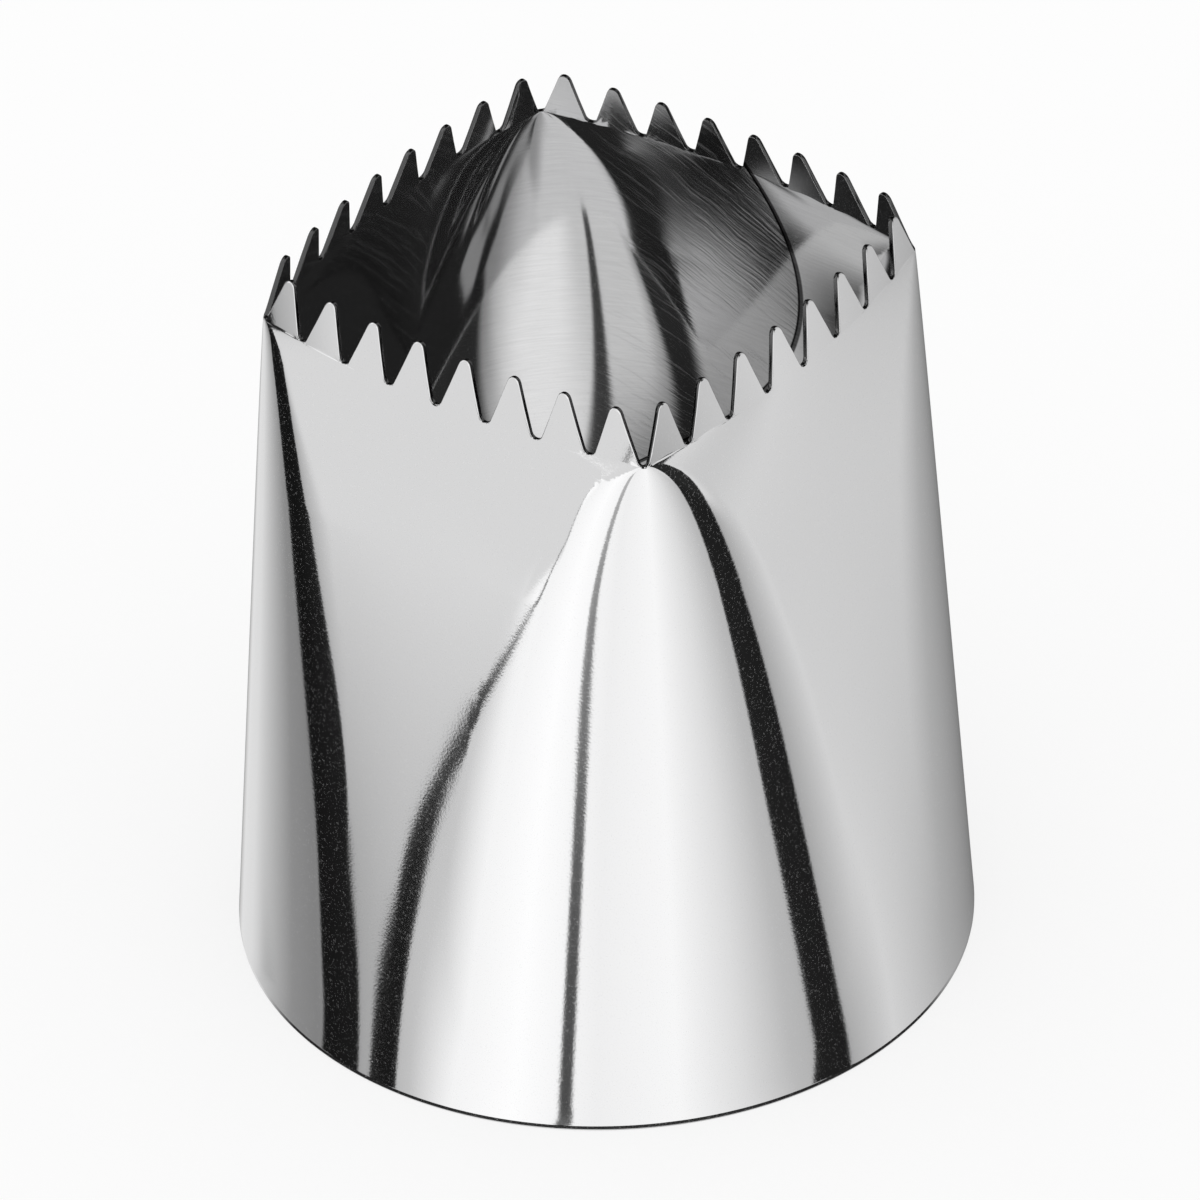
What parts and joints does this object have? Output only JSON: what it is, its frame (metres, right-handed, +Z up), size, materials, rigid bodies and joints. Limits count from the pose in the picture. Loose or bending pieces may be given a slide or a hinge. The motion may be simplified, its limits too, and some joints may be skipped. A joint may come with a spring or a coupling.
{
  "type": "piping nozzle",
  "caption": "Very large open piping nozzle of polished stainless sheet, round at the base and changing to a square toothed outlet with bowed sides.",
  "frame": {"origin": "centre of the round base, on the plane that the base rim stands on", "axes": "+Z up the nozzle's own axis, towards the toothed outlet; +X and +Y square to the outlet's flat sides"},
  "size_m": [0.06, 0.06, 0.0647],
  "materials": {
    "polished_steel": "mirror-polished stainless steel"
  },
  "bodies": {
    "root": {"nozzle_shell": "polished_steel"}
  },
  "joints": []
}
